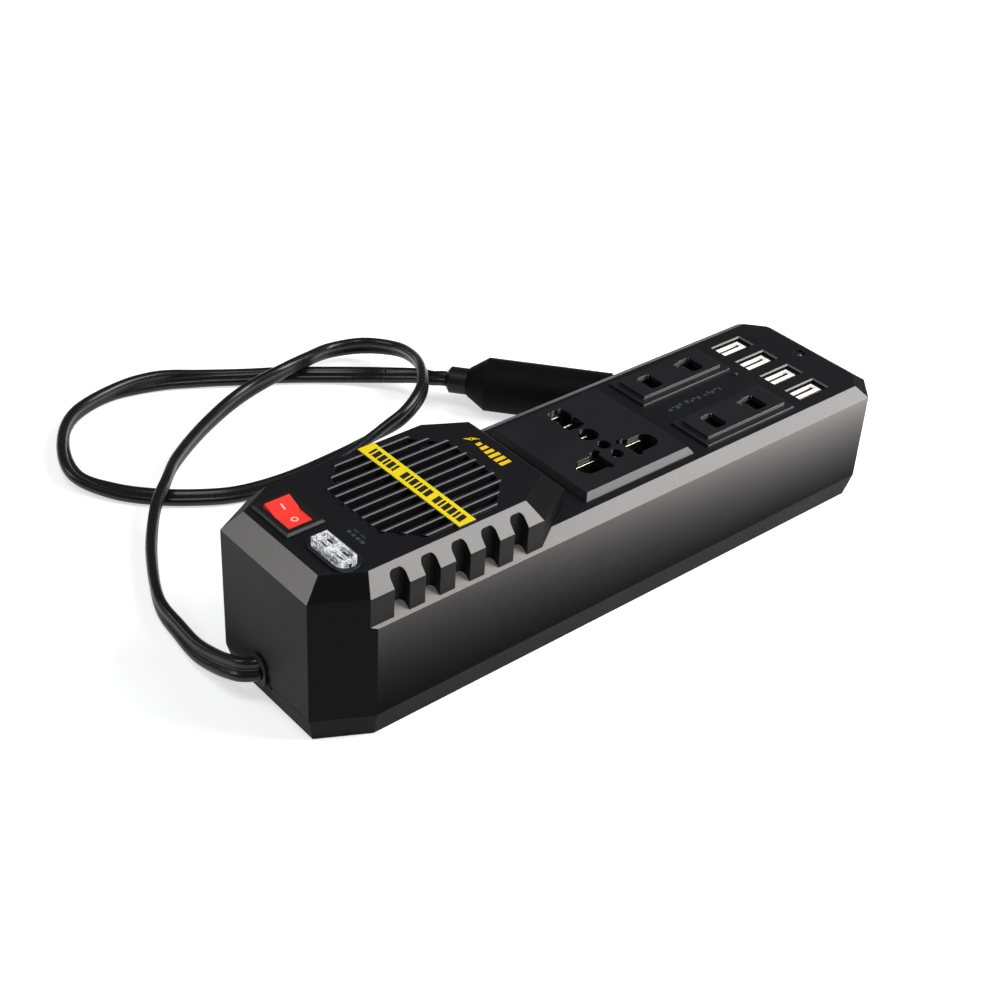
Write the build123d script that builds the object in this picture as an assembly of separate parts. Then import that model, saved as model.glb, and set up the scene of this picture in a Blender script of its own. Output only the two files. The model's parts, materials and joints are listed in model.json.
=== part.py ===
from build123d import *
import os
import math

os.makedirs("parts", exist_ok=True)

# Power inverter with a long chamfered case, a raised fan hump at the near end,
# AC outlets and charging ports on the lower deck, and a flat twin DC cord that
# ends in a vehicle power plug.
# +X runs along the case towards the charging ports, +Z is up, the origin is the
# centre of the case's underside.

# ---------------------------------------------------------------- dimensions
case_len = 265.0          # overall length of the case
case_half_w = 35.0        # half width of the case
deck_z = 49.6             # top of the low deck that carries the outlets
hump_z = 64.5             # top of the raised fan hump
wall = 2.2                # moulded wall thickness
part_z = 10.1             # parting line between tray and housing
part_gap = 0.25           # visible gap at the parting line

near_cx, near_cy = 19.6, 10.6    # corner chamfer at the cord end, along X and Y
far_cx, far_cy = 9.1, 10.0       # corner chamfer at the port end
base_in = 2.5                    # inward draft of the tray below the parting line
deck_bevel_z, deck_bevel_in = 46.2, 5.4   # long edge bevel of the deck

hump_half_w = 33.85              # hump side wall
hump_bevel_z = 58.0              # lower edge of the hump bevel
hump_x1, hump_x2, hump_y2 = -43.7, -25.9, 24.0   # facet corners at the far end of the hump
bevel_side, bevel_near, bevel_far = 5.6, 6.8, 6.75

slot_x = [-102.7, -90.4, -78.1, -65.8, -53.5]   # side slots of the hump
slot_w, slot_y, slot_r = 6.1, 29.9, 1.9

grille_x = -71.8                 # fan and grille centre
grille_half, grille_cut = 25.2, 11.3
rib_pitch, rib_w, rib_proud = 4.9, 1.6, 0.7
label_w, label_half = 6.9, 28.6
bar_w = 7.5

switch_x, switch_y = -115.3, 10.6
switch_l, switch_w = 21.0, 15.0   # bezel along Y and X
rocker_tilt, pivot_z, rocker_r = 10.0, 62.9, 7.7

fuse_x, fuse_y = -115.2, -14.6
fuse_w, fuse_t, fuse_top = 18.4, 4.7, 67.6

plate_x, plate_half, plate_top_z = 9.2, 26.3, 52.4
plate_top_half = 24.5
hole_x, hole_y = 9.8, -12.6       # column centre and line of the live and neutral holes

out_x, out_y, out_dx = 66.0, 16.9, 10.9
out_l1, out_w1, out_h1 = 46.6, 19.0, 0.9
out_l2, out_w2, out_h2 = 41.0, 13.4, 2.1

usb_x, usb_pitch = 103.8, 13.2
port_x, port_floor, port_top = 103.2, 47.9, 48.5   # socket centre, recess floor, mouth of the metal shell
shell_l, shell_w, shell_t = 13.2, 5.8, 0.35

# plug axis on the floor beside the case
plug_ang = -49.4
plug_x0, plug_y0, plug_z = 34.4, 114.6, 11.6     # rear end of the strain relief
relief_r, handle_r, nose_r = 5.6, 11.3, 10.5
s_cone, s_handle, s_nose, s_cap, s_end, s_tip = 9.5, 17.5, 70.5, 85.7, 92.5, 96.3
s_pivot = 8.0
s_land = 80.2                     # start of the full-diameter land of the barrel
cord_r = 2.55

L2 = case_len / 2


# ---------------------------------------------------------------- helpers
def box(x0, x1, y0, y1, z0, z1):
    return Pos((x0 + x1) / 2, (y0 + y1) / 2, (z0 + z1) / 2) * Box(
        abs(x1 - x0), abs(y1 - y0), abs(z1 - z0)
    )


def cyl(x, y, z0, z1, r):
    return Pos(x, y, (z0 + z1) / 2) * Cylinder(r, abs(z1 - z0))


def prism(points, z0, z1):
    """Straight prism over a closed outline given in XY."""
    return extrude(Pos(0, 0, z0) * Polygon(*points, align=None), amount=z1 - z0, dir=(0, 0, 1))


def convex(planes, inset, z0, z1):
    """Convex block bounded by planes given as (point, outward normal), all moved inward by inset."""
    s = box(-180, 180, -80, 80, z0, z1)
    for p, n in planes:
        m = math.sqrt(sum(c * c for c in n))
        n = tuple(c / m for c in n)
        q = tuple(p[i] - n[i] * inset for i in range(3))
        cutter = Plane(origin=q, z_dir=n).location * (Pos(0, 0, 200) * Box(900, 900, 400))
        s = s - cutter
    return s


def edge_planes(edges, lo=None, hi=None):
    """Vertical walls over outline edges, with optional lower and upper bevels.
    Each edge is ((x, y), (nx, ny), inset_low, inset_high)."""
    out = []
    for (x, y), (nx, ny), bl, bh in edges:
        m = math.hypot(nx, ny)
        nx, ny = nx / m, ny / m
        out.append(((x, y, 0), (nx, ny, 0)))
        if lo is not None and bl:
            out.append(((x, y, lo), (nx * lo, ny * lo, -bl)))
        if hi is not None and bh:
            z0, z1 = hi
            out.append(((x, y, z0), (nx * (z1 - z0), ny * (z1 - z0), bh)))
    return out


def slotbox(cx, cy, lx, ly, z0, z1):
    """Block with round ends: the longer side is the one with the ends."""
    if ly > lx:
        r = lx / 2
        return box(cx - r, cx + r, cy - ly / 2 + r, cy + ly / 2 - r, z0, z1) + cyl(
            cx, cy - ly / 2 + r, z0, z1, r
        ) + cyl(cx, cy + ly / 2 - r, z0, z1, r)
    r = ly / 2
    return box(cx - lx / 2 + r, cx + lx / 2 - r, cy - r, cy + r, z0, z1) + cyl(
        cx - lx / 2 + r, cy, z0, z1, r
    ) + cyl(cx + lx / 2 - r, cy, z0, z1, r)


def save(shape, name):
    solids = shape.solids()
    part = solids[0] if len(solids) == 1 else Compound(children=list(solids))
    part.label = name
    export_step(part, f"parts/{name}.step")


# ---------------------------------------------------------------- case outline
def sym(edges):
    out = []
    for (x, y), (nx, ny), bl, bh in edges:
        out.append(((x, y), (nx, ny), bl, bh))
        if ny != 0:
            out.append(((x, -y), (nx, -ny), bl, bh))
    return out


lower_edges = sym(
    [
        ((-L2, 0), (-1, 0), base_in, 0),
        ((-L2, -(case_half_w - near_cy)), (-near_cy, -near_cx), base_in, 0),
        ((0, -case_half_w), (0, -1), base_in, deck_bevel_in),
        ((L2 - far_cx, -case_half_w), (far_cy, -far_cx), base_in, deck_bevel_in),
        ((L2, 0), (1, 0), base_in, deck_bevel_in),
    ]
)
lower_planes = edge_planes(lower_edges, part_z, (deck_bevel_z, deck_z))

hump_edges = sym(
    [
        ((-L2, 0), (-1, 0), 0, bevel_near),
        ((-L2, -(case_half_w - near_cy)), (-near_cy, -near_cx), 0, 6.4),
        ((0, -hump_half_w), (0, -1), 0, bevel_side),
        ((hump_x1, -hump_half_w), (hump_half_w - hump_y2, -(hump_x2 - hump_x1)), 0, bevel_far),
        ((hump_x2, 0), (1, 0), 0, bevel_far),
    ]
)
hump_planes = edge_planes(hump_edges, None, (hump_bevel_z, hump_z))


def lower(inset, z0=None, z1=None):
    return convex(
        lower_planes,
        inset,
        inset if z0 is None else z0,
        deck_z - inset if z1 is None else z1,
    )


def hump(inset):
    return convex(hump_planes, inset, 25.0, hump_z - inset)


outer = lower(0) + hump(0)

# grip slots on both sides: the floor of each is the deck's own bevel
slots = None
guards = None
for sx in slot_x:
    for sy in (-1, 1):
        a, b = sx - slot_w / 2, sx + slot_w / 2
        t = (
            box(a, b, sy * (slot_y + slot_r), sy * 37, 40, 70)
            + box(a + slot_r, b - slot_r, sy * slot_y, sy * 34, 40, 70)
            + cyl(a + slot_r, sy * (slot_y + slot_r), 40, 70, slot_r)
            + cyl(b - slot_r, sy * (slot_y + slot_r), 40, 70, slot_r)
        )
        g = box(a - 1.7, b + 1.7, sy * (slot_y - 1.8), sy * 37, 20, 70)
        slots = t if slots is None else slots + t
        guards = g if guards is None else guards + g
slots = slots - lower(0)
outer = outer - slots
cavity = lower(wall, wall, None) + (hump(wall) - guards)

# ---------------------------------------------------------------- housing
housing = (outer & box(-200, 200, -60, 60, part_z + part_gap, 100)) - cavity

# grille: octagonal opening with ribs along X and one bar across that carries the label
gh, gc = grille_half, grille_cut
octagon = [
    (grille_x - gh, -(gh - gc)), (grille_x - gh + gc, -gh), (grille_x + gh - gc, -gh), (grille_x + gh, -(gh - gc)),
    (grille_x + gh, gh - gc), (grille_x + gh - gc, gh), (grille_x - gh + gc, gh), (grille_x - gh, gh - gc),
]
housing = housing - prism(octagon, hump_z - wall - 0.6, hump_z + 1)
ribs = None
for k in range(-5, 6):
    y = k * rib_pitch
    r = box(grille_x - 26.5, grille_x + 26.5, y - rib_w / 2, y + rib_w / 2, hump_z - wall, hump_z + rib_proud)
    ribs = r if ribs is None else ribs + r
og = [((x - grille_x) * 1.015 + grille_x, y * 1.015) for x, y in octagon]
ribs = ribs & prism(og, hump_z - wall - 0.1, hump_z + 1)
bar = box(grille_x - bar_w / 2, grille_x + bar_w / 2, -label_half - 0.3 + 1.0, label_half + 0.3 - 1.0, hump_z - wall, hump_z + rib_proud)
housing = housing + ribs + bar

# fan bosses, cover posts and board posts moulded into the housing
post_near, post_far, post_top = (-118.0, 24.5), (116.0, 26.0), 30.0
for sy in (-1, 1):
    for dx in (-20, 20):
        housing = housing + cyl(grille_x + dx, sy * 20, 61.35, hump_z - wall + 0.3, 3.0)
        housing = housing - cyl(grille_x + dx, sy * 20, 60, 63.4, 1.5)
    for (px, py), yy in ((post_near, 30.6), (post_far, 33.4)):
        housing = housing + cyl(px, sy * py, part_z + part_gap, post_top, 3.4)
        housing = housing + box(px - 1, px + 1, sy * py, sy * yy, part_z + part_gap, post_top)
        housing = housing - cyl(px, sy * py, 5, 24, 1.35)
    housing = housing + cyl(119, sy * 21, 35.05, deck_z - 1, 2.6)
    housing = housing - cyl(119, sy * 21, 34, 44, 1.05)

# openings for the switch, fuse holder, socket modules, ports, lenses and the cord
housing = housing - box(switch_x - 6.9, switch_x + 6.9, switch_y - 9.65, switch_y + 9.65, 60, 70)
housing = housing - slotbox(fuse_x, fuse_y, 9.6, 21.2, 60, 70)
housing = housing - box(plate_x - 22.2, plate_x + 22.2, -22.2, 22.2, 45, 55)
for sy in (-1, 1):
    housing = housing - box(out_x - 20.4, out_x + 20.4, sy * out_y - 7.0, sy * out_y + 7.0, 45, 55)
usb_y = [1.5 * usb_pitch, 0.5 * usb_pitch, -0.5 * usb_pitch, -1.5 * usb_pitch]
housing = housing + box(usb_x - 9.6, usb_x + 9.2, -27, 27, 45.4, deck_z - wall + 0.2)
for y in usb_y:
    housing = housing - box(port_x - 6.9, port_x + 6.9, y - 3.2, y + 3.2, 44, 55)
    # recess round each port with a narrow bevel at the deck
    housing = housing - box(usb_x - 7.7, usb_x + 7.7, y - 3.65, y + 3.65, port_floor, 55)
    lo = Pos(usb_x, y, deck_z - 0.6) * Rectangle(15.4, 7.3)
    hi = Pos(usb_x, y, deck_z + 0.1) * Rectangle(16.4, 8.3)
    housing = housing - loft(Sketch() + [lo, hi])
power_at, usb_led_at = (88.5, 3.5), (121.9, 0.3)
housing = housing - cyl(power_at[0], power_at[1], 40, 60, 1.15)
housing = housing - cyl(usb_led_at[0], usb_led_at[1], 40, 60, 1.75)
housing = housing - cyl(usb_led_at[0], usb_led_at[1], deck_z - 0.7, 60, 2.4)

cord_y, cord_z = 3.6, 13.2
tab_y0, tab_y1, tab_z = cord_y - 6.2, cord_y + 6.2, 13.2


def cord_hole(x0, x1, w, h):
    """Upright round-ended opening through the end wall."""
    s = slotbox(0, 0, h, w, x0, x1)
    return Pos(0, cord_y, cord_z) * (Rot(0, 90, 0) * s)


housing = housing - box(-135, -129, tab_y0 - 0.2, tab_y1 + 0.2, 5, tab_z + 0.25)
housing = housing - cord_hole(-140, -126, 7.6, 11.4)
# soft edge on the four long upper edges of the deck cut-outs is left sharp: the modules' flanges cover them
save(housing, "housing")

# ---------------------------------------------------------------- bottom cover
cover = (lower(0) & box(-200, 200, -60, 60, 0, part_z)) - lower(wall, wall, None)
lip = (lower(wall - 0.3, 5.5, part_z) - lower(wall + 1.1, 5.0, part_z + 1)) + (
    lower(wall + 0.12, part_z - 1, 13.0) - lower(wall + 1.1, part_z - 2, 13.5)
)
cover = cover + lip
cover = cover + box(-L2, -L2 + wall, tab_y0, tab_y1, part_z - 2, tab_z)
cover = cover + box(-L2 + wall - 0.5, -L2 + wall + 1.1, tab_y0, tab_y1, part_z - 2, tab_z)
for sy in (-1, 1):
    for px, py in (post_near, post_far):
        cover = cover - cyl(px, sy * py, part_z - 4, 14, 4.2)
        cover = cover + cyl(px, sy * py, 1.0, part_z - 0.1, 4.8)
        cover = cover - cyl(px, sy * py, -1, 12, 1.7) - cyl(px, sy * py, -1, 2.6, 3.2)
    # clearance in the lip for the housing's post ribs
    cover = cover - box(post_near[0] - 1.4, post_near[0] + 1.4, sy * post_near[1], sy * 34, part_z + 0.1, 14)
    cover = cover - box(post_far[0] - 1.4, post_far[0] + 1.4, sy * post_far[1], sy * 34, part_z + 0.1, 14)
board_at = [(-108, 19), (-108, -19), (105, 19), (105, -19)]
board_z = 8.0
for x, y in board_at:
    cover = cover + cyl(x, y, wall - 0.5, board_z, 3.0)
    cover = cover - cyl(x, y, 3.0, board_z + 1, 1.3)
cover = cover - cord_hole(-140, -126, 7.6, 11.4)
cover = cover - box(-129.15, -125, cord_y - 5.2, cord_y + 5.2, 5.0, 15)
# cooling slots in the floor below the board
for x in range(-84, -40, 8):
    cover = cover - slotbox(x, 0, 3.0, 30.0, -1, 4)
cover = cover & box(-L2, L2, -case_half_w, case_half_w, 0, 20)
save(cover, "bottom_cover")

screws = None
for sy in (-1, 1):
    for px, py in (post_near, post_far):
        s = cyl(px, sy * py, 0.35, 2.55, 2.9) + cyl(px, sy * py, 2.5, 22, 1.3)
        s = s - box(px - 2.0, px + 2.0, sy * py - 0.4, sy * py + 0.4, 0, 1.3) - box(
            px - 0.4, px + 0.4, sy * py - 2.0, sy * py + 2.0, 0, 1.3
        )
        screws = s if screws is None else screws + s
save(screws, "cover_screws")

# ---------------------------------------------------------------- label strip
save(
    box(grille_x - label_w / 2, grille_x + label_w / 2, -27.6, 27.6, hump_z + rib_proud, hump_z + rib_proud + 0.25),
    "label_strip",
)

# ---------------------------------------------------------------- rocker switch
bz = hump_z + 1.3
frame = box(switch_x - switch_w / 2, switch_x + switch_w / 2, switch_y - switch_l / 2, switch_y + switch_l / 2, hump_z, bz)
frame = chamfer(frame.edges().group_by(Axis.Z)[-1], 0.8)
frame = frame + box(switch_x - 6.7, switch_x + 6.7, switch_y - 9.45, switch_y + 9.45, 49.5, hump_z + 0.5)
frame = frame - box(switch_x - 4.95, switch_x + 4.95, switch_y - 7.95, switch_y + 7.95, 53.5, 70)
frame = frame - Pos(switch_x, switch_y, pivot_z) * (Rot(0, 90, 0) * Cylinder(1.25, 12.6))
save(frame, "switch_frame")


def rocker_shape():
    r = rocker_r
    body = Rot(0, 90, 0) * Cylinder(r, 9.5)
    t = math.tan(math.radians(rocker_tilt))
    # shallow V on top: each half rises outwards
    top = [(-12, 2.3 + 12 * t), (0, 2.3), (12, 2.3 + 12 * t), (12, 20), (-12, 20)]
    v = extrude(Plane.YZ.offset(-8) * Polygon(*top, align=None), amount=16, dir=(1, 0, 0))
    body = body - v - box(-8, 8, -12, 12, -20, -4.2)
    body = body + Rot(0, 90, 0) * Cylinder(1.2, 12.2)
    return body


rocker = Pos(switch_x, switch_y, pivot_z) * (Rot(rocker_tilt, 0, 0) * rocker_shape())
save(rocker, "switch_rocker")

terms = None
for dy in (-3.6, 3.6):
    s = box(switch_x - 2.35, switch_x + 2.35, switch_y + dy - 0.4, switch_y + dy + 0.4, 41.0, 49.5) - (
        Pos(switch_x, switch_y + dy, 43.5) * (Rot(90, 0, 0) * Cylinder(0.8, 3))
    )
    terms = s if terms is None else terms + s
save(terms, "switch_terminals")

# ---------------------------------------------------------------- blade fuse in its holder
holder = slotbox(fuse_x, fuse_y, 10.8, 22.4, hump_z, hump_z + 0.9)
holder = holder + slotbox(fuse_x, fuse_y, 9.4, 21.0, 46.0, hump_z + 0.4)
holder = holder - slotbox(fuse_x, fuse_y, 8.4, 20.0, 57.6, 70)
for sy in (-1, 1):
    cy = fuse_y + sy * 6.2
    holder = holder - box(fuse_x - 1.75, fuse_x + 1.75, cy - 3.0, cy + 3.0, 45, 60)
save(holder, "fuse_holder")

fb = box(fuse_x - fuse_t / 2, fuse_x + fuse_t / 2, fuse_y - fuse_w / 2, fuse_y + fuse_w / 2, 61.2, fuse_top)
fb = chamfer(fb.edges().filter_by(Axis.X).group_by(Axis.Z)[-1], 1.4)
fb = fb + box(fuse_x - 1.95, fuse_x + 1.95, fuse_y - 9.1, fuse_y + 9.1, 58.0, 61.4)
fb = fb - box(fuse_x - 0.75, fuse_x + 0.75, fuse_y - 8.9, fuse_y - 3.4, 57, 66.2)
fb = fb - box(fuse_x - 0.75, fuse_x + 0.75, fuse_y + 3.4, fuse_y + 8.9, 57, 66.2)
fb = fb - box(fuse_x - 1.6, fuse_x + 1.6, fuse_y - 3.6, fuse_y + 3.6, 57, 66.2)
for sy in (-1, 1):
    fb = fb - box(fuse_x - 0.6, fuse_x + 0.6, fuse_y + sy * 6.2 - 1.1, fuse_y + sy * 6.2 + 1.1, 66, 70)
save(fb, "fuse_body")

bl = None
for sy in (-1, 1):
    cy = fuse_y + sy * 6.2
    s = box(fuse_x - 0.35, fuse_x + 0.35, cy - 2.55, cy + 2.55, 50.5, 65.9)
    s = chamfer(s.edges().filter_by(Axis.X).group_by(Axis.Z)[0], 1.2)
    bl = s if bl is None else bl + s
bl = bl + box(fuse_x - 0.2, fuse_x + 0.2, fuse_y - 3.7, fuse_y - 1.0, 62.6, 64.0) + box(
    fuse_x - 0.2, fuse_x + 0.2, fuse_y + 1.0, fuse_y + 3.7, 62.6, 64.0
) + box(fuse_x - 0.2, fuse_x + 0.2, fuse_y - 1.2, fuse_y + 1.2, 63.2, 64.8)
save(bl, "fuse_blades")

ft = None
for sy in (-1, 1):
    cy = fuse_y + sy * 6.2
    s = box(fuse_x - 1.6, fuse_x - 0.4, cy - 2.8, cy + 2.8, 46.5, 56.5) + box(
        fuse_x + 0.4, fuse_x + 1.6, cy - 2.8, cy + 2.8, 46.5, 56.5
    ) + box(fuse_x - 1.6, fuse_x + 1.6, cy - 2.4, cy + 2.4, 45.2, 47.0) + box(
        fuse_x - 0.4, fuse_x + 0.4, cy - 2.4, cy + 2.4, 38.5, 46.0
    )
    ft = s if ft is None else ft + s
save(ft, "fuse_terminals")

# ---------------------------------------------------------------- cooling fan
fz0, fz1 = 51.3, 61.3
ff = box(grille_x - 25, grille_x + 25, -25, 25, fz0, fz1)
ff = fillet(ff.edges().filter_by(Axis.Z), 3.0)
ff = ff - cyl(grille_x, 0, 40, 70, 23.6)
ff = ff + cyl(grille_x, 0, fz0, fz0 + 1.4, 11.5)
for a in (90, 210, 330):
    ff = ff + Pos(grille_x, 0, fz0 + 0.7) * (Rot(0, 0, a) * (Pos(17.3, 0, 0) * Box(14.5, 3, 1.4)))
ff = ff + cyl(grille_x, 0, fz0, 58.2, 3.2)
ff = ff - cyl(grille_x, 0, fz0 + 1.0, 60, 1.06)
for dx in (-20, 20):
    for dy in (-20, 20):
        ff = ff - cyl(grille_x + dx, dy, 50, 62, 1.7)
save(ff, "fan_frame")

hub = cyl(grille_x, 0, 53.4, 60.4, 11.0)
hub = hub - cyl(grille_x, 0, 50, 59.2, 9.9)
hub = hub + cyl(grille_x, 0, 58.6, 59.4, 2.6)
hub = hub - cyl(grille_x, 0, 50, 59.9, 1.0)
for i in range(7):
    blade = Pos(16.6, 0, 0) * (Rot(42, 0, 0) * Box(12.4, 8.2, 1.1))
    blade = blade & (Cylinder(22.6, 20))
    blade = blade - Cylinder(10.4, 20)
    hub = hub + Pos(grille_x, 0, 57.0) * (Rot(0, 0, i * 360 / 7) * blade)
save(hub, "fan_rotor")
save(cyl(grille_x, 0, 52.6, 59.85, 0.98), "fan_shaft")

fs = None
for dx in (-20, 20):
    for dy in (-20, 20):
        s = cyl(grille_x + dx, dy, 49.3, fz0, 2.8) + cyl(grille_x + dx, dy, fz0 - 0.2, 63.2, 1.45)
        fs = s if fs is None else fs + s
save(fs, "fan_screws")

# ---------------------------------------------------------------- universal socket
pl_edges = [
    ((plate_x + plate_half, 0), (1, 0), 0, plate_half - plate_top_half),
    ((plate_x - plate_half, 0), (-1, 0), 0, plate_half - plate_top_half),
    ((0, plate_half), (0, 1), 0, plate_half - plate_top_half),
    ((0, -plate_half), (0, -1), 0, plate_half - plate_top_half),
]
us = convex(edge_planes(pl_edges, None, (deck_z + 0.35, plate_top_z)), 0, deck_z, plate_top_z)
us = us + box(plate_x - 22, plate_x + 22, -22, 22, 35.0, deck_z + 0.5)


def pin_hole(side, z0, z1):
    """Combined opening for one current-carrying pin: a tall inner slot with a wide outer bay."""
    s = box(5.7, 8.4, -5.6, 5.6, z0, z1)
    s = s + box(7.0, 14.4, -4.5, 4.3, z0, z1) + cyl(14.2, -0.1, z0, z1, 4.4)
    s = s + Pos(8.6, 3.2, 0) * (Rot(0, 0, -30) * box(-4.6, 3.6, -1.3, 1.3, z0, z1))
    if side < 0:
        s = mirror(s, about=Plane.YZ)
    return Pos(hole_x, hole_y, 0) * s


for side in (-1, 1):
    us = us - pin_hole(side, 49.0, 54)
    x0, x1 = sorted((hole_x + side * 5.2, hole_x + side * 19.2))
    us = us - box(x0, x1, hole_y - 6.2, hole_y + 6.2, 30, 50.3)
earth = (
    cyl(hole_x, 17.7, 49, 54, 4.2)
    + box(hole_x - 3.6, hole_x + 3.6, 15.5, 21.4, 49, 54)
    + box(hole_x - 4.0, hole_x + 4.0, 8.4, 15.0, 49, 54)
    + cyl(hole_x, 12.0, 49, 54, 4.2)
)
earth = earth + cyl(hole_x, 2.6, 49, 54, 3.9) + cyl(hole_x, -5.6, 49, 54, 2.7) + cyl(hole_x, hole_y, 49, 54, 2.6)
us = us - earth
us = us - box(hole_x - 4.9, hole_x + 4.9, -2.2, 21.7, 30, 50.3)
us = us - box(hole_x - 3.4, hole_x + 3.4, -15.8, -2.0, 30, 50.3)
save(us, "universal_socket")
save(
    box(plate_x - 21.6, plate_x + 21.6, -21.6, 21.6, 33.4, 34.95)
    - cyl(hole_x - 12, hole_y, 30, 40, 1.2)
    - cyl(hole_x + 12, hole_y, 30, 40, 1.2)
    - cyl(hole_x, 10, 30, 40, 1.2),
    "socket_back_cover",
)


def clip(x0, x1, y0, y1, z0, z1, t=0.6):
    """U-shaped spring contact that lines a chamber."""
    c = box(x0, x1, y0, y1, z0, z1) - box(x0 - 1, x1 + 1, y0 + t, y1 - t, z0 + t, z1 + 1)
    return c


for side, name in ((-1, "socket_contact_live"), (1, "socket_contact_neutral")):
    x0, x1 = sorted((hole_x + side * 5.8, hole_x + side * 18.6))
    c = clip(x0, x1, hole_y - 6.0, hole_y + 6.0, 35.2, 45.6)
    # spring leaf that the pin slides along, just behind the opening
    m0, m1 = sorted((hole_x + side * 6.4, hole_x + side * 17.6))
    c = c + box(m0, m1, hole_y + 3.85, hole_y + 4.35, 35.4, 49.9) + box(m0 + 3, m1 - 3, hole_y - 4.35, hole_y - 3.85, 35.4, 49.9)
    save(c, name)
ec = box(hole_x - 2.9, hole_x + 2.9, -15.4, 21.4, 35.2, 35.8)
for y in (21.4, 14.6, 5.4, -3.2, -10.6):
    ec = ec + box(hole_x - 2.9, hole_x + 2.9, y - 0.6, y, 35.2, 49.8)
save(ec, "socket_contact_earth")

# ---------------------------------------------------------------- two-pin outlets
for i, sy in enumerate((1, -1), start=1):
    cy = sy * out_y
    o = box(out_x - out_l1 / 2, out_x + out_l1 / 2, cy - out_w1 / 2, cy + out_w1 / 2, deck_z, deck_z + out_h1)
    o = o + box(out_x - out_l2 / 2, out_x + out_l2 / 2, cy - out_w2 / 2, cy + out_w2 / 2, deck_z + 0.3, deck_z + out_h2)
    o = o + box(out_x - 20.2, out_x + 20.2, cy - 6.8, cy + 6.8, 35.0, deck_z + 0.4)
    contacts = None
    for k in (-1, 1):
        hx = out_x + k * out_dx
        o = o - box(hx - 3.2, hx + 3.2, cy - 3.9, cy + 3.9, 48, 55)
        o = o - box(hx - 2.3, hx + 2.3, cy - 4.5, cy + 4.5, 48, 55)
        o = o - box(hx - 4.6, hx + 4.6, cy - 5.2, cy + 5.2, 30, 49.6)
        c = clip(hx - 4.4, hx + 4.4, cy - 5.0, cy + 5.0, 35.2, 45.0)
        contacts = c if contacts is None else contacts + c
    # side slot of the wider pin
    o = o - box(out_x + out_dx - 5.6, out_x + out_dx - 2.0, cy + 1.2, cy + 3.8, 48, 55)
    save(o, f"outlet_insert_{i}")
    save(contacts, f"outlet_contacts_{i}")

# ---------------------------------------------------------------- charging ports
ub_x0, ub_x1 = 86.9, 125.0
for i, y in enumerate(usb_y, start=1):
    sh = box(port_x - shell_l / 2, port_x + shell_l / 2, y - shell_w / 2, y + shell_w / 2, 35.0, port_top)
    sh = fillet(sh.edges().filter_by(Axis.Z), 0.8)
    sh = sh - box(
        port_x - shell_l / 2 + shell_t, port_x + shell_l / 2 - shell_t,
        y - shell_w / 2 + shell_t, y + shell_w / 2 - shell_t, 34, 60,
    )
    save(sh, f"usb_shell_{i}")
    tg = box(port_x - 6.2, port_x + 6.2, y - 2.5, y + 2.5, 35.05, 38.5) + box(
        port_x - 5.55, port_x + 5.55, y - 1.8, y + 0.1, 38, port_top - 0.6
    )
    save(tg, f"usb_tongue_{i}")

ub = box(ub_x0, ub_x1, -26, 26, 33.4, 35.0)
for sy in (-1, 1):
    ub = ub - cyl(119, sy * 21, 30, 40, 1.3)
save(ub, "usb_board")
ubs = None
for sy in (-1, 1):
    s = cyl(119, sy * 21, 31.8, 33.4, 2.1) + cyl(119, sy * 21, 33.2, 43, 1.0)
    ubs = s if ubs is None else ubs + s
save(ubs, "usb_board_screws")

lens = cyl(power_at[0], power_at[1], 35.0, deck_z + 0.1, 1.05) + cyl(power_at[0], power_at[1], 35.0, 46.8, 1.9)
lens = lens + (Pos(power_at[0], power_at[1], deck_z + 0.1) * Sphere(1.05))
save(lens, "power_lens")
ulens = cyl(usb_led_at[0], usb_led_at[1], 35.0, deck_z - 0.9, 1.6) + cyl(usb_led_at[0], usb_led_at[1], 35.0, 46.8, 2.4)
ulens = ulens + (Pos(usb_led_at[0], usb_led_at[1], deck_z - 1.6) * Sphere(1.6))
save(ulens, "usb_lens")

# ---------------------------------------------------------------- main board and its parts
mb = box(-112, 109.5, -23.5, 23.5, board_z, board_z + 1.6)
for x, y in board_at:
    mb = mb - cyl(x, y, 5, 12, 1.6)
save(mb, "main_board")
bs = None
for x, y in board_at:
    s = cyl(x, y, board_z + 1.6, board_z + 3.3, 2.7) + cyl(x, y, 3.5, board_z + 1.8, 1.2)
    bs = s if bs is None else bs + s
save(bs, "board_screws")
bt = board_z + 1.6

tx = -31.0
core = box(tx - 13, tx + 13, -16, 16, bt + 3, bt + 29) - box(tx - 14, tx + 14, -11.5, -6.0, bt + 7.5, bt + 24.5) - box(
    tx - 14, tx + 14, 6.0, 11.5, bt + 7.5, bt + 24.5
)
save(core, "transformer_core")
wind = box(tx - 17.5, tx + 17.5, -11.3, 11.3, bt + 7.7, bt + 24.3)
wind = fillet(wind.edges().filter_by(Axis.Z), 4.0)
wind = wind - box(tx - 13.2, tx + 13.2, -6.2, 6.2, bt, bt + 40)
wind = wind + box(tx - 17.5, tx - 13.6, -10, 10, bt, bt + 8.5) + box(tx + 13.6, tx + 17.5, -10, 10, bt, bt + 8.5)
save(wind, "transformer_winding")

caps = None
for sy in (-1, 1):
    s = cyl(-97, sy * 12, bt, bt + 25, 8.0)
    s = fillet(s.edges().group_by(Axis.Z)[-1], 0.8)
    s = s - (Pos(-97, sy * 12, bt + 3.5) * Torus(8.4, 0.8))
    caps = s if caps is None else caps + s
save(caps, "input_capacitors")
oc = cyl(36, 8, bt, bt + 21, 8.0)
oc = fillet(oc.edges().group_by(Axis.Z)[-1], 0.8)
oc = oc - (Pos(36, 8, bt + 3.5) * Torus(8.4, 0.8))
save(oc, "output_capacitor")

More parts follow.
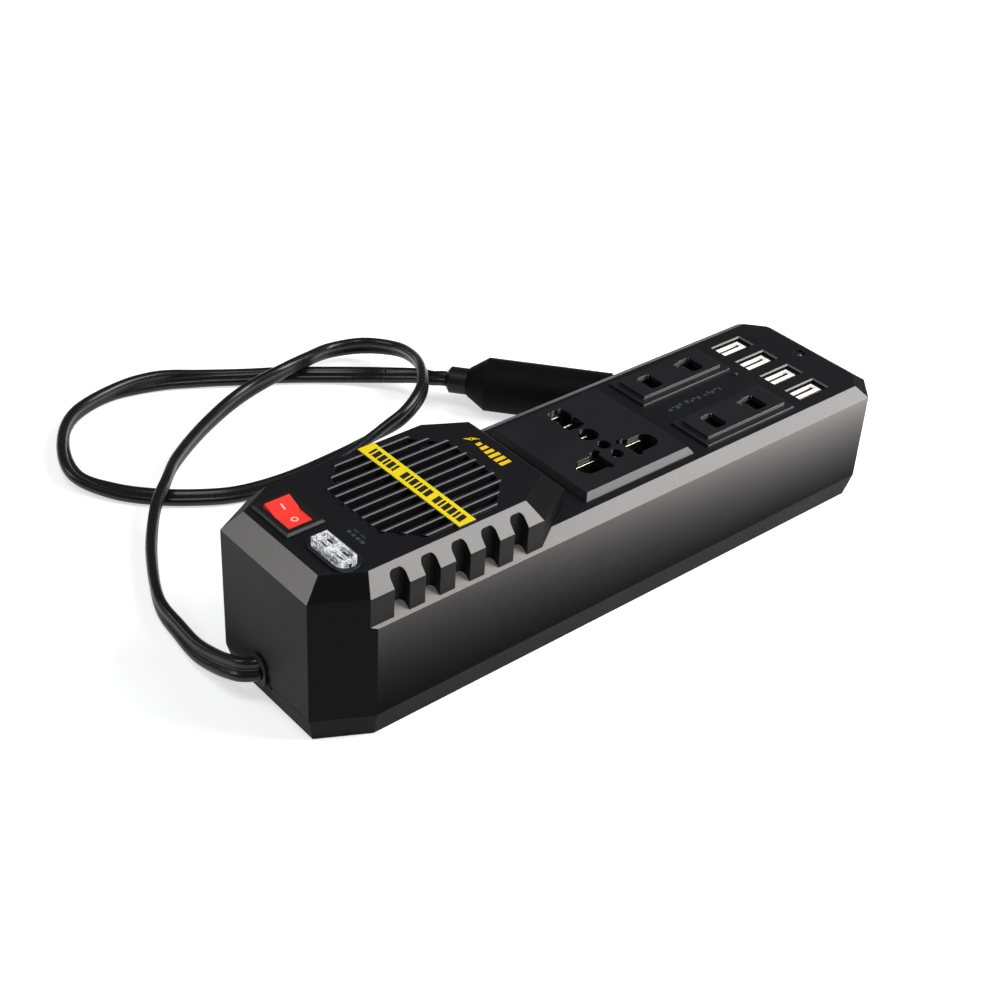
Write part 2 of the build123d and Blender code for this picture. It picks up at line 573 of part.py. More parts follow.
hs = box(-88, -45, 17.0, 19.0, bt + 0.3, bt + 30)
for k in range(8):
    x = -88 + k * (43 - 1.4) / 7
    hs = hs + box(x, x + 1.4, 18.5, 23.0, bt + 0.3, bt + 30)
save(hs, "heat_sink")
mf = None
for k in range(4):
    x = -83.0 + k * 11.0
    s = box(x - 5, x + 5, 12.3, 16.95, bt + 4.5, bt + 13.5) + box(x - 5, x + 5, 15.6, 16.95, bt + 13.0, bt + 20)
    s = s - (Pos(x, 16, bt + 17) * (Rot(90, 0, 0) * Cylinder(1.8, 6)))
    for dx in (-2.54, 0, 2.54):
        s = s + box(x + dx - 0.4, x + dx + 0.4, 13.9, 14.5, bt + 0.05, bt + 4.8)
    mf = s if mf is None else mf + s
save(mf, "mosfets")

# ---------------------------------------------------------------- cord, grommet and wires
gr = cord_hole(-L2 - 1.0, -L2 - 0.05, 9.0, 12.8) + cord_hole(-L2 - 0.5, -L2 + wall + 1.3, 7.4, 11.2) + cord_hole(
    -L2 + wall + 1.25, -L2 + wall + 3.2, 9.6, 13.2
)
gr = gr - Pos(-130, cord_y, cord_z) * (Rot(0, 90, 0) * Cylinder(cord_r + 0.35, 30))
gr = gr - Pos(-134.8, cord_y + 0.5, cord_z - 0.1) * (Rot(0, 90, 0) * Cylinder(3.8, 8.0))
save(gr, "cable_grommet")

cord_pts = [
    (-122.5, 3.6, 13.2), (-127.5, 3.6, 13.2), (-132.0, 3.6, 13.2), (-136.3, 6.6, 12.5), (-138.2, 12.6, 10.4),
    (-138.7, 21.0, 7.4), (-139.0, 32.0, 5.4), (-138.3, 45.5, 4.5), (-134.9, 62.0, 4.2), (-125.6, 86.0, 4.6),
    (-117.0, 101.5, 6.6), (-107.9, 111.6, 8.7), (-98.0, 121.9, 8.0), (-85.3, 134.6, 5.8), (-60.4, 152.4, 4.2),
    (-36.0, 162.6, 5.6), (-13.6, 166.6, 8.9), (2.0, 170.4, 7.6), (15.5, 172.4, 6.0), (27.6, 166.4, 7.2),
    (33.9, 149.0, 11.0), (30.5, 130.0, 14.8), (24.6, 117.4, 15.9), (14.6, 111.6, 12.0), (4.0, 110.4, 7.0),
    (-11.6, 107.9, 4.0), (-31.0, 104.4, 3.4), (-55.0, 103.6, 3.2), (-76.0, 105.6, 3.1), (-90.5, 112.0, 3.0),
    (-102.0, 122.2, 3.0), (-111.2, 137.6, 3.2), (-115.4, 156.2, 3.6), (-111.8, 176.0, 3.8), (-98.5, 191.4, 3.8),
    (-78.5, 196.4, 3.6), (-58.0, 193.3, 3.4), (-43.0, 186.0, 3.2), (-26.0, 176.0, 3.1), (-12.0, 167.2, 3.1),
    (5.4, 155.2, 3.5), (16.4, 144.6, 5.0), (24.0, 133.4, 8.0),
]
ua = (math.cos(math.radians(plug_ang)), math.sin(math.radians(plug_ang)))


def along(s, dz=0.0):
    return (plug_x0 + ua[0] * s, plug_y0 + ua[1] * s, plug_z + dz)


cord_pts = cord_pts + [along(-11.5, -1.2), along(-5.5, -0.15), along(-0.35)]
path = Spline(*[Vector(*p) for p in cord_pts])
cord = sweep(Plane(origin=path @ 0, z_dir=path % 0) * Circle(cord_r), path=path, is_frenet=True)
save(cord, "dc_cable")

for name, dy, dz, y1 in (("wire_positive", 0.0, 1.25, 9.0), ("wire_negative", 0.0, -1.25, -4.0)):
    pts = [
        (-122.1, cord_y + dy, cord_z + dz), (-120.3, cord_y + dy, cord_z + dz),
        (-115.0, cord_y + (y1 - cord_y) * 0.5, cord_z + dz * 1.6), (-109.5, y1, bt + 5.0),
        (-106.6, y1, bt + 2.2), (-106.6, y1, bt + 0.35),
    ]
    w = Spline(*[Vector(*p) for p in pts])
    save(sweep(Plane(origin=w @ 0, z_dir=w % 0) * Circle(1.15), path=w, is_frenet=True), name)

aw = None
for x, y in ((hole_x - 12, hole_y), (hole_x + 12, hole_y), (hole_x, 10)):
    s = cyl(x, y, bt + 0.02, 35.15, 0.9)
    aw = s if aw is None else aw + s
for sy in (-1, 1):
    for k in (-1, 1):
        s = cyl(out_x + k * out_dx, sy * out_y, bt + 0.02, 35.15, 0.9)
        aw = aw + s
save(aw, "ac_wires")
uw = None
for k in range(4):
    s = cyl(92.0, -6 + k * 2.5, bt + 0.02, 33.38, 0.6)
    uw = s if uw is None else uw + s
save(uw, "usb_wires")

# ---------------------------------------------------------------- vehicle power plug
# built along +Z from the rear of the strain relief, then laid down beside the case
lay = Location(along(0.0), (0, 0, 0)) * (Rot(0, 0, plug_ang) * Rot(0, 90, 0))


def turned(pts):
    """Solid of revolution about Z from (radius, height) points."""
    return revolve(Plane.XZ * Polygon(*pts, align=None), axis=Axis.Z)


def placed(shape, name):
    save(lay * shape, name)


ball = Pos(0, 0, s_pivot) * Sphere(s_pivot)
relief = cyl(0, 0, -1, s_cone, relief_r) + cyl(0, 0, s_cone - 1.0, 15.5, 4.3)
relief = (relief & (ball + cyl(0, 0, s_pivot, 40, 20))) - cyl(0, 0, 0.8, 20, 2.4)
placed(relief, "plug_strain_relief")

handle = turned(
    [
        (4.36, s_cone + 0.1), (relief_r, s_cone + 0.1), (6.3, s_cone + 0.9), (10.6, s_handle - 0.7), (handle_r, s_handle + 0.2),
        (handle_r, s_nose - 0.8), (handle_r - 0.8, s_nose), (9.05, s_nose), (9.05, 50.0), (4.6, 50.0),
        (4.6, 36.0), (3.4, 36.0), (3.4, 15.6), (4.36, 15.6),
    ]
)
placed(handle, "plug_handle")

barrel = cyl(0, 0, s_nose + 0.05, s_land + 0.5, nose_r - 0.25) + cyl(0, 0, s_land, s_cap - 0.15, nose_r) + cyl(0, 0, 50.1, s_nose + 1, 9.0)
barrel = barrel - cyl(0, 0, 49, 90, 7.5)
barrel = barrel + (cyl(0, 0, 50.1, 53.0, 8.0) - cyl(0, 0, 49, 60, 4.2))
for sy in (-1, 1):
    barrel = barrel - box(-2.25, 2.25, sy * 5.0, sy * 12.5, 72.2, 80.0)
placed(barrel, "plug_barrel")

cap = turned(
    [
        (3.1, 90.3), (3.1, s_end), (8.6, s_end), (10.2, s_end - 1.6), (10.2, s_cap), (7.4, s_cap),
        (7.4, 80.5), (5.6, 80.5), (5.6, 90.3),
    ]
)
for i in range(24):
    cap = cap - Rot(0, 0, i * 15) * (Pos(10.45, 0, 88.2) * Cylinder(0.45, 4.2))
placed(cap, "plug_cap")

tip = turned([(0, 85.2), (4.6, 85.2), (4.6, 87.4), (3.0, 87.6), (3.0, 94.6), (2.2, 95.8), (1.0, s_tip), (0, s_tip)])
placed(tip, "plug_tip")
fuse_s0, fuse_s1 = 56.2, 85.15
tube = cyl(0, 0, fuse_s0 + 0.3, fuse_s1 - 0.3, 2.85) - cyl(0, 0, fuse_s0 - 1, fuse_s1 + 1, 2.35)
placed(tube, "plug_fuse_tube")
fcaps = (cyl(0, 0, fuse_s0, fuse_s0 + 6, 3.2) - cyl(0, 0, fuse_s0 + 0.3, fuse_s0 + 7, 2.86)) + (
    cyl(0, 0, fuse_s1 - 6, fuse_s1, 3.2) - cyl(0, 0, fuse_s1 - 7, fuse_s1 - 0.3, 2.86)
)
placed(fcaps, "plug_fuse_caps")
coil = Helix(pitch=1.9, height=14.9, radius=3.1)
spring = sweep(Plane(origin=coil @ 0, z_dir=coil % 0) * Circle(0.4), path=coil)
placed(Pos(0, 0, 37.2) * spring, "tip_spring")
for i, sy in enumerate((1, -1), start=1):
    prof = [(8.4, 72.5), (10.4, 72.5), (11.35, 73.7), (11.75, 76.1), (11.35, 78.5), (10.4, 79.7), (8.4, 79.7)]
    c = extrude(Plane.YZ.offset(-2.0) * Polygon(*prof, align=None), amount=4.0, dir=(1, 0, 0))
    if sy < 0:
        c = mirror(c, about=Plane.XZ)
    placed(c, f"side_contact_{i}")
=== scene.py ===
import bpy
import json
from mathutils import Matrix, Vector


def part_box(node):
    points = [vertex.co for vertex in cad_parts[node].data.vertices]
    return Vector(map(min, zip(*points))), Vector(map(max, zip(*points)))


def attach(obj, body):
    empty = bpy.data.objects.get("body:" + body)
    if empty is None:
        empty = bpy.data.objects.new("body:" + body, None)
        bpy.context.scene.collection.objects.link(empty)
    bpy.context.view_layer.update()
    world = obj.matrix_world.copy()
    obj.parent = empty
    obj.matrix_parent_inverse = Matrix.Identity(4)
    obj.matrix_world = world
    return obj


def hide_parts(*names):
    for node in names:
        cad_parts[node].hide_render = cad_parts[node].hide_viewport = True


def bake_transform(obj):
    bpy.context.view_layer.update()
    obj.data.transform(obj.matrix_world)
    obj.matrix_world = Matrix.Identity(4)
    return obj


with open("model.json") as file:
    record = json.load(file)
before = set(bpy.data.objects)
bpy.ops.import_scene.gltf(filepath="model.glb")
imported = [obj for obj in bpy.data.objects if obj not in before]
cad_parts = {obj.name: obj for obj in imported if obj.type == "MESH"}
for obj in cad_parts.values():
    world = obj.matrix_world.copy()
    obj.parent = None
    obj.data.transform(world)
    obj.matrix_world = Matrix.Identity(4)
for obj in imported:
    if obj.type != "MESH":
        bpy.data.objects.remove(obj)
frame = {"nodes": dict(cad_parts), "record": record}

import json
import math
import random

import bpy
from mathutils import Matrix, Vector

random.seed(11)
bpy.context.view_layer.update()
scene = bpy.context.scene
nodes = frame["nodes"]
MM = 0.001


# ------------------------------------------------------------------ materials
def srgb(h):
    c = [int(h[i:i + 2], 16) / 255 for i in (1, 3, 5)]
    return [x / 12.92 if x <= 0.04045 else ((x + 0.055) / 1.055) ** 2.4 for x in c]


class Net:
    def __init__(self, name):
        self.m = bpy.data.materials.new(name)
        self.m.use_nodes = True
        self.t = self.m.node_tree
        self.t.nodes.clear()
        self.out = self.t.nodes.new("ShaderNodeOutputMaterial")
        self.b = self.t.nodes.new("ShaderNodeBsdfPrincipled")
        self.t.links.new(self.b.outputs[0], self.out.inputs[0])
        self.tc = self.t.nodes.new("ShaderNodeTexCoord")

    def n(self, kind, **kw):
        x = self.t.nodes.new(kind)
        for k, v in kw.items():
            if k.startswith("i_"):
                x.inputs[int(k[2:])].default_value = v
            else:
                setattr(x, k, v)
        return x

    def link(self, a, b):
        self.t.links.new(a, b)

    def noise(self, scale, detail=2.0, rough=0.5, vector=None):
        x = self.n("ShaderNodeTexNoise")
        x.inputs["Scale"].default_value = scale
        x.inputs["Detail"].default_value = detail
        x.inputs["Roughness"].default_value = rough
        self.link(vector or self.tc.outputs["Object"], x.inputs["Vector"])
        return x.outputs[0]

    def ramp(self, value, a, b, lo=0.0, hi=1.0):
        x = self.n("ShaderNodeMapRange")
        x.inputs[1].default_value, x.inputs[2].default_value = a, b
        x.inputs[3].default_value, x.inputs[4].default_value = lo, hi
        self.link(value, x.inputs[0])
        return x.outputs[0]

    def math(self, op, a, b=None, c=None):
        x = self.n("ShaderNodeMath", operation=op)
        for i, v in enumerate((a, b, c)):
            if v is None:
                continue
            if isinstance(v, (int, float)):
                x.inputs[i].default_value = v
            else:
                self.link(v, x.inputs[i])
        return x.outputs[0]

    def mix(self, fac, a, b):
        x = self.n("ShaderNodeMix", data_type="RGBA")
        for sock, v in ((x.inputs[0], fac), (x.inputs[6], a), (x.inputs[7], b)):
            if isinstance(v, (int, float)):
                sock.default_value = v
            elif isinstance(v, (list, tuple)):
                sock.default_value = (*v, 1.0)
            else:
                self.link(v, sock)
        return x.outputs[2]

    def edge(self, radius):
        """1 near convex edges, 0 on flats."""
        bv = self.n("ShaderNodeBevel", samples=4)
        bv.inputs[0].default_value = radius
        geo = self.n("ShaderNodeNewGeometry")
        d = self.n("ShaderNodeVectorMath", operation="DOT_PRODUCT")
        self.link(bv.outputs[0], d.inputs[0])
        self.link(geo.outputs["Normal"], d.inputs[1])
        return self.ramp(d.outputs["Value"], 0.995, 0.90), bv.outputs[0]


def surface(name, col, rough=0.5, metal=0.0, spec=0.5, vary=0.12, grain=1500.0, bump=0.12, edge=0.35, radius=0.35,
            rough_vary=0.08, coat=0.0, streak=False, bump_scale=None):
    k = Net(name)
    base = srgb(col) if isinstance(col, str) else col
    vec = None
    if streak:
        mp = k.n("ShaderNodeMapping")
        mp.inputs["Scale"].default_value = (1.0, 12.0, 12.0)
        k.link(k.tc.outputs["Object"], mp.inputs["Vector"])
        vec = mp.outputs[0]
    broad = k.noise(35.0, 3.0, vector=vec)
    fine = k.noise(grain, 2.0, vector=vec)
    lo = [c * (1 - vary) for c in base]
    hi = [min(1.0, c * (1 + vary)) for c in base]
    c0 = k.mix(k.ramp(broad, 0.3, 0.7), lo, hi)
    c1 = k.mix(k.math("MULTIPLY", k.ramp(fine, 0.35, 0.75), vary), c0, [min(1.0, c * 1.6 + 0.01) for c in base])
    mask, bevel = k.edge(radius * MM)
    # convex edges painted lighter: partly worn edges, partly a painted highlight along every edge
    wear_and_edge_highlight = k.math("MULTIPLY", k.math("MULTIPLY", mask, k.ramp(broad, 0.25, 0.7, 0.4, 1.0)), edge)
    c2 = k.mix(wear_and_edge_highlight, c1, [min(1.0, c * 2.2 + 0.03) for c in base])
    k.link(c2, k.b.inputs["Base Color"])
    r = k.math("ADD", k.ramp(broad, 0.25, 0.75, rough - rough_vary / 2, rough + rough_vary / 2), k.ramp(fine, 0.3, 0.7, -rough_vary / 3, rough_vary / 3))
    r = k.math("SUBTRACT", r, k.math("MULTIPLY", wear_and_edge_highlight, 0.12))
    k.link(r, k.b.inputs["Roughness"])
    k.b.inputs["Metallic"].default_value = metal
    k.b.inputs["Specular IOR Level"].default_value = spec
    k.b.inputs["Coat Weight"].default_value = coat
    bp = k.n("ShaderNodeBump")
    bp.inputs["Strength"].default_value = bump
    bp.inputs["Distance"].default_value = 0.00012
    k.link(k.noise(bump_scale, 2.0, vector=vec) if bump_scale else fine, bp.inputs["Height"])
    k.link(bevel, bp.inputs["Normal"])
    k.link(bp.outputs[0], k.b.inputs["Normal"])
    k.net_mask = mask
    return k


def shell_material(name, col, painted_reflection_col, case=True):
    """Textured plastic whose long bevels are smoother and painted lighter, a painted reflection of the key lamp that is
    dimmer on the +Y side. The side walls carry a painted satin reflection that grows towards the deck and the port end."""
    k = surface(name, col, rough=0.5, spec=0.2, vary=0.16, grain=2600.0, bump=0.2, edge=0.75, radius=0.4, bump_scale=1900.0)
    sep = k.n("ShaderNodeSeparateXYZ")
    k.link(k.tc.outputs["Normal"], sep.inputs[0])
    pos = k.n("ShaderNodeSeparateXYZ")
    k.link(k.tc.outputs["Object"], pos.inputs[0])
    nx = k.math("ABSOLUTE", sep.outputs[0])
    ny = k.math("ABSOLUTE", sep.outputs[1])
    nz = sep.outputs[2]
    px, py, pz = pos.outputs[0], pos.outputs[1], pos.outputs[2]
    ay = k.math("ABSOLUTE", py)
    tilt = k.math("MULTIPLY", k.ramp(nz, 0.45, 0.52), k.ramp(nz, 0.97, 0.92))
    along_x = k.ramp(nx, 0.2, 0.1)
    if case:
        # long bevels painted lighter (painted reflection of the key lamp); on the +Y side they are painted dimmer
        # (painted shade)
        long_side = k.math("MULTIPLY", along_x, k.ramp(ay, 0.0275, 0.0280))
        long_side = k.math("MULTIPLY", long_side, k.ramp(py, 0.02, -0.02, 0.3, 1.0))
        # end bevel at -X: painted reflection, painted darker towards +Y
        near_end = k.math("MULTIPLY", k.ramp(ny, 0.2, 0.1), k.ramp(px, -0.1250, -0.1255))
        near_end = k.math("MULTIPLY", near_end, k.ramp(py, 0.026, -0.026, 0.76, 1.0))
        # USB recess slopes painted lighter (painted highlight), brighter on -Y-facing slopes than on -X-facing ones
        port = k.math("MULTIPLY", k.ramp(px, 0.090, 0.091), k.ramp(ay, 0.0262, 0.0258))
        port_y = k.math("MULTIPLY", k.math("MULTIPLY", port, k.ramp(sep.outputs[1], -0.5, -0.6)), 0.95)
        port_x = k.math("MULTIPLY", k.math("MULTIPLY", port, k.ramp(sep.outputs[0], -0.5, -0.6)), 0.6)
        m = k.math("MAXIMUM", long_side, near_end)
        m = k.math("MAXIMUM", m, k.math("MAXIMUM", port_y, port_x))
        painted_reflection_strip = k.math("MULTIPLY", tilt, m)
    else:
        # socket plate bevels: painted reflection, painted dimmer on the +Y side
        painted_reflection_strip = k.math("MULTIPLY", k.math("MULTIPLY", tilt, along_x), k.ramp(ay, 0.0205, 0.0215))
        painted_reflection_strip = k.math("MULTIPLY", painted_reflection_strip, k.ramp(py, 0.02, -0.02, 0.3, 1.0))
    wall_m = k.math("MULTIPLY", k.ramp(nz, 0.25, 0.15), k.ramp(nz, -0.2, -0.1))
    side = k.math("MULTIPLY", wall_m, along_x)
    if case:
        side = k.math("MULTIPLY", side, k.ramp(pz, 0.0475, 0.0465))
        side = k.math("MULTIPLY", side, k.ramp(ay, 0.0330, 0.0338))
    # facets at the corners painted darker (painted shade) and kept duller than the flat walls
    corner_painted_shade = k.math("MULTIPLY", k.ramp(nx, 0.15, 0.3), k.ramp(ny, 0.15, 0.3))
    # side walls: a painted satin reflection, brighter towards the port end and towards the deck, darker low down
    painted_sheen = k.math("ADD", k.math("MULTIPLY", k.math("POWER", k.ramp(px, -0.105, 0.115), 1.25), 0.75), 0.25)
    rise = k.math("POWER", 2.0, k.math("MULTIPLY", k.math("SUBTRACT", pz, 0.043), 100.0))
    rise = k.math("MAXIMUM", k.math("MULTIPLY", k.math("SUBTRACT", rise, 0.09), 0.86), 0.0)
    painted_sheen = k.math("MULTIPLY", painted_sheen, rise)
    old = k.b.inputs["Base Color"].links[0].from_socket
    rold = k.b.inputs["Roughness"].links[0].from_socket
    g = k.noise(1400.0, 2.0)
    broad = k.noise(26.0, 3.0)
    old = k.mix(k.math("MULTIPLY", corner_painted_shade, 0.55), old, srgb("#070708"))
    if case:
        # grille rib tops: a thin lighter line painted along one edge of each rib (painted highlight)
        ribs = k.math("MULTIPLY", k.ramp(pz, 0.0647, 0.0650), k.ramp(nz, 0.5, 0.8))
        rib_painted_highlight = k.math("FRACT", k.math("DIVIDE", k.math("ADD", py, 0.0498), 0.0049))
        rib_painted_highlight = k.ramp(rib_painted_highlight, 0.17, 0.12)
        old = k.mix(k.math("MULTIPLY", k.math("MULTIPLY", ribs, rib_painted_highlight), k.ramp(g, 0.2, 0.8, 0.7, 1.0)), old, srgb("#8a8a8c"))
    dark = k.mix(k.ramp(g, 0.3, 0.7), srgb("#030303"), srgb("#080808"))
    wallc = k.mix(k.math("MULTIPLY", painted_sheen, k.ramp(g, 0.3, 0.7, 0.85, 1.1)), dark, srgb("#64605f"))
    c = k.mix(side, old, wallc)
    # lighter bevel colour: painted reflection
    light = k.mix(k.ramp(g, 0.3, 0.7), [v * 0.93 for v in srgb(painted_reflection_col)], [v * 1.07 for v in srgb(painted_reflection_col)])
    light = k.mix(k.ramp(broad, 0.3, 0.7, 0.0, 0.12), light, srgb("#5a5856"))
    c = k.mix(painted_reflection_strip, c, light)
    k.link(c, k.b.inputs["Base Color"])
    r = k.math("ADD", k.math("MULTIPLY", rold, k.math("SUBTRACT", 1.0, painted_reflection_strip)), k.math("MULTIPLY", k.ramp(g, 0.2, 0.8, 0.44, 0.54), painted_reflection_strip))
    r = k.math("SUBTRACT", r, k.math("MULTIPLY", side, 0.06))
    k.link(r, k.b.inputs["Roughness"])
    sp = k.math("SUBTRACT", 0.2, k.math("MULTIPLY", k.math("MAXIMUM", side, k.math("MULTIPLY", corner_painted_shade, 0.8)), 0.18))
    sp = k.math("ADD", sp, k.math("MULTIPLY", k.math("MULTIPLY", side, painted_sheen), 1.0))
    sp = k.math("ADD", sp, k.math("MULTIPLY", painted_reflection_strip, 0.27))
    k.link(sp, k.b.inputs["Specular IOR Level"])
    return k


M = {}


def add(name, *a, **kw):
    M[name] = surface(name, *a, **kw).m


M["case_plastic"] = shell_material("case_plastic", "#121214", "#8b8988").m
M["socket_plastic"] = shell_material("socket_plastic", "#1b1b1d", "#676666", case=False).m
add("tray_plastic", "#0a0a0b", rough=0.52, spec=0.08, grain=2400.0, bump=0.2)
add("yellow_label", "#ffe214", rough=0.38, spec=0.45, vary=0.05, grain=1800.0, bump=0.05, edge=0.15, radius=0.15)
add("print_black", "#191816", rough=0.45, vary=0.2, edge=0.0, radius=0.05, bump=0.04)
add("print_yellow", "#ffd01c", rough=0.42, vary=0.08, edge=0.1, radius=0.05, bump=0.05)
add("print_grey", "#3c3d40", rough=0.5, vary=0.1, edge=0.1, radius=0.05, bump=0.05)
add("print_white", "#ffc9c2", rough=0.4, vary=0.03, edge=0.0, radius=0.05, bump=0.04)
add("switch_black", "#131315", rough=0.4, spec=0.35, grain=2000.0, bump=0.06, radius=0.3)
add("holder_black", "#161618", rough=0.36, spec=0.4, grain=2000.0, bump=0.06, edge=0.9, radius=0.35)
add("grommet_rubber", "#0d0d0e", rough=0.44, spec=0.3, grain=1800.0, bump=0.16, radius=0.4)
add("fan_plastic", "#121213", rough=0.42, spec=0.4, grain=1500.0, bump=0.08)
add("tin", "#c7c8ca", rough=0.3, metal=1.0, vary=0.08, grain=900.0, bump=0.08)
add("brass_contact", "#e2d9c0", rough=0.24, metal=1.0, vary=0.12, grain=700.0, bump=0.1)

shell = surface("nickel_steel", "#f6f1e8", rough=0.42, metal=0.3, spec=0.6, vary=0.05, grain=900.0, bump=0.05, edge=0.0, radius=0.1)
# USB shells: only faces towards -Y or -X above a set height keep the bright colour and glow (painted light); the rest
# is painted dark (painted shadow)
sn = shell.n("ShaderNodeSeparateXYZ")
shell.link(shell.tc.outputs["Normal"], sn.inputs[0])
sp = shell.n("ShaderNodeSeparateXYZ")
shell.link(shell.tc.outputs["Object"], sp.inputs[0])
painted_light_mask = shell.math("MAXIMUM", shell.math("MULTIPLY", shell.ramp(sn.outputs[1], -0.4, -0.6), shell.ramp(sp.outputs[2], 0.0464, 0.0468)),
                 shell.math("MULTIPLY", shell.ramp(sn.outputs[0], -0.4, -0.6), shell.ramp(sp.outputs[2], 0.0470, 0.0473)))
shell.link(shell.mix(painted_light_mask, srgb("#2a2826"), shell.b.inputs["Base Color"].links[0].from_socket), shell.b.inputs["Base Color"])
shell.b.inputs["Emission Color"].default_value = (1.0, 0.97, 0.92, 1)
shell.link(shell.math("MULTIPLY", painted_light_mask, 0.4), shell.b.inputs["Emission Strength"])
M["nickel_steel"] = shell.m
pw = surface("port_white", "#fffaf0", rough=0.34, vary=0.03, grain=1500.0, bump=0.04, edge=0.1, radius=0.15)
# the white port tongues glow: painted light
pw.b.inputs["Emission Color"].default_value = (1.0, 0.98, 0.94, 1)
pw.b.inputs["Emission Strength"].default_value = 0.3
M["port_white"] = pw.m
add("screw_steel", "#8e9093", rough=0.32, metal=1.0, vary=0.12, grain=1200.0, bump=0.15)
add("black_oxide", "#2b2b2d", rough=0.4, metal=0.8, vary=0.12, grain=1200.0, bump=0.12)
add("board_green", "#1e5a3a", rough=0.4, vary=0.16, grain=600.0, bump=0.12)
add("ferrite", "#2b2928", rough=0.62, vary=0.18, grain=1500.0, bump=0.3)
add("winding", "#c8922d", rough=0.5, vary=0.1, grain=400.0, bump=0.3, streak=True)
add("aluminium_can", "#2d3c55", rough=0.34, metal=0.1, vary=0.08, grain=700.0, bump=0.05)
add("aluminium_fin", "#b5b9bd", rough=0.36, metal=1.0, vary=0.08, grain=900.0, bump=0.1, streak=True)
add("cord_rubber", "#0d0d0f", rough=0.27, spec=0.45, vary=0.18, grain=2200.0, bump=0.06, edge=0.1, radius=0.2)
add("wire_red", "#b1241d", rough=0.42, vary=0.1, grain=1200.0, bump=0.08)
add("wire_black", "#151515", rough=0.42, vary=0.1, grain=1200.0, bump=0.08)
add("wire_ac", "#6a4929", rough=0.42, vary=0.1, grain=1200.0, bump=0.08)
add("plug_plastic", "#09090a", rough=0.56, spec=0.08, vary=0.16, grain=2300.0, bump=0.2, radius=0.5)
add("plug_barrel_plastic", "#0b0b0c", rough=0.42, spec=0.2, vary=0.1, grain=1800.0, bump=0.08)
add("plug_metal", "#d3d4d6", rough=0.2, metal=1.0, vary=0.05, grain=900.0, bump=0.05)
add("spring_steel", "#98999c", rough=0.3, metal=1.0, vary=0.08, grain=900.0, bump=0.08)


def clear(name, tint, rough, trans, alpha_col):
    k = surface(name, tint, rough=rough, spec=0.6, vary=0.05, grain=900.0, bump=0.12, edge=0.5, radius=0.4, rough_vary=0.05)
    k.b.inputs["Transmission Weight"].default_value = trans
    k.b.inputs["IOR"].default_value = 1.46
    M[name] = k.m
    return k


fuse_k = clear("fuse_plastic", "#e9ecec", 0.06, 0.8, None)
fuse_k.b.inputs["Coat Weight"].default_value = 0.6
fuse_k.b.inputs["Coat Roughness"].default_value = 0.05
# mottled patches and edges of the clear fuse glow white: painted glints
painted_glint = fuse_k.math("MAXIMUM", fuse_k.ramp(fuse_k.noise(620.0, 1.5), 0.52, 0.62), fuse_k.math("MULTIPLY", fuse_k.net_mask, 0.9))
fuse_k.b.inputs["Emission Color"].default_value = (0.98, 1.0, 1.0, 1)
fuse_k.link(fuse_k.math("MULTIPLY", painted_glint, 0.3), fuse_k.b.inputs["Emission Strength"])
clear("lens_clear", "#2b2d2c", 0.3, 0.3, None)
clear("fuse_glass", "#eef2f2", 0.06, 0.9, None)
rk = surface("rocker_red", "#ff3a30", rough=0.3, spec=0.5, vary=0.05, grain=1500.0, bump=0.05, edge=0.3, radius=0.4, coat=0.2)
# the red rocker glows: painted light
rk.b.inputs["Emission Color"].default_value = (*srgb("#ff2a20"), 1)
rk.b.inputs["Emission Strength"].default_value = 0.12
M["rocker_red"] = rk.m

slots = {s["node"]: s["material_slot"] for s in frame["record"]["subparts"]}
for n, o in nodes.items():
    o.data.materials.clear()
    o.data.materials.append(M[slots[n]])


# ------------------------------------------------------------------ mesh helpers
def mesh_object(name, verts, faces, material, smooth=False):
    me = bpy.data.meshes.new(name)
    me.from_pydata([tuple(v) for v in verts], [], faces)
    me.validate()
    me.update()
    o = bpy.data.objects.new(name, me)
    scene.collection.objects.link(o)
    o.data.materials.append(M[material])
    if smooth:
        for p in me.polygons:
            p.use_smooth = True
    return o


def plates(name, outlines, z0, z1, material, body, matrix=None):
    """Thin closed plates over 2D outlines in mm, kept as one piece."""
    verts, faces = [], []
    for pts in outlines:
        area = sum(pts[i][0] * pts[(i + 1) % len(pts)][1] - pts[(i + 1) % len(pts)][0] * pts[i][1] for i in range(len(pts)))
        if area < 0:
            pts = pts[::-1]
        b = len(verts)
        k = len(pts)
        for z in (z0, z1):
            for x, y in pts:
                v = Vector((x * MM, y * MM, z * MM))
                verts.append(matrix @ v if matrix else v)
        faces.append(tuple(b + i for i in reversed(range(k))))
        faces.append(tuple(b + k + i for i in range(k)))
        for i in range(k):
            j = (i + 1) % k
            faces.append((b + i, b + j, b + k + j, b + k + i))
    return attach(mesh_object(name, verts, faces, material), body)


def bar(cx, cy, lx, ly, slant=0.0):
    return [(cx - lx / 2 - slant, cy - ly / 2), (cx + lx / 2 - slant, cy - ly / 2), (cx + lx / 2 + slant, cy + ly / 2), (cx - lx / 2 + slant, cy + ly / 2)]


def ring_pieces(cx, cy, ro, ri, n=24):
    out = []
    for i in range(n):
        a, b = 2 * math.pi * i / n, 2 * math.pi * (i + 1) / n
        out.append([(cx + ri * math.cos(a), cy + ri * math.sin(a)), (cx + ro * math.cos(a), cy + ro * math.sin(a)), (cx + ro * math.cos(b), cy + ro * math.sin(b)), (cx + ri * math.cos(b), cy + ri * math.sin(b))])
    return out


def mm_box(node):
    lo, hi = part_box(node)
    return [v / MM for v in lo], [v / MM for v in hi]


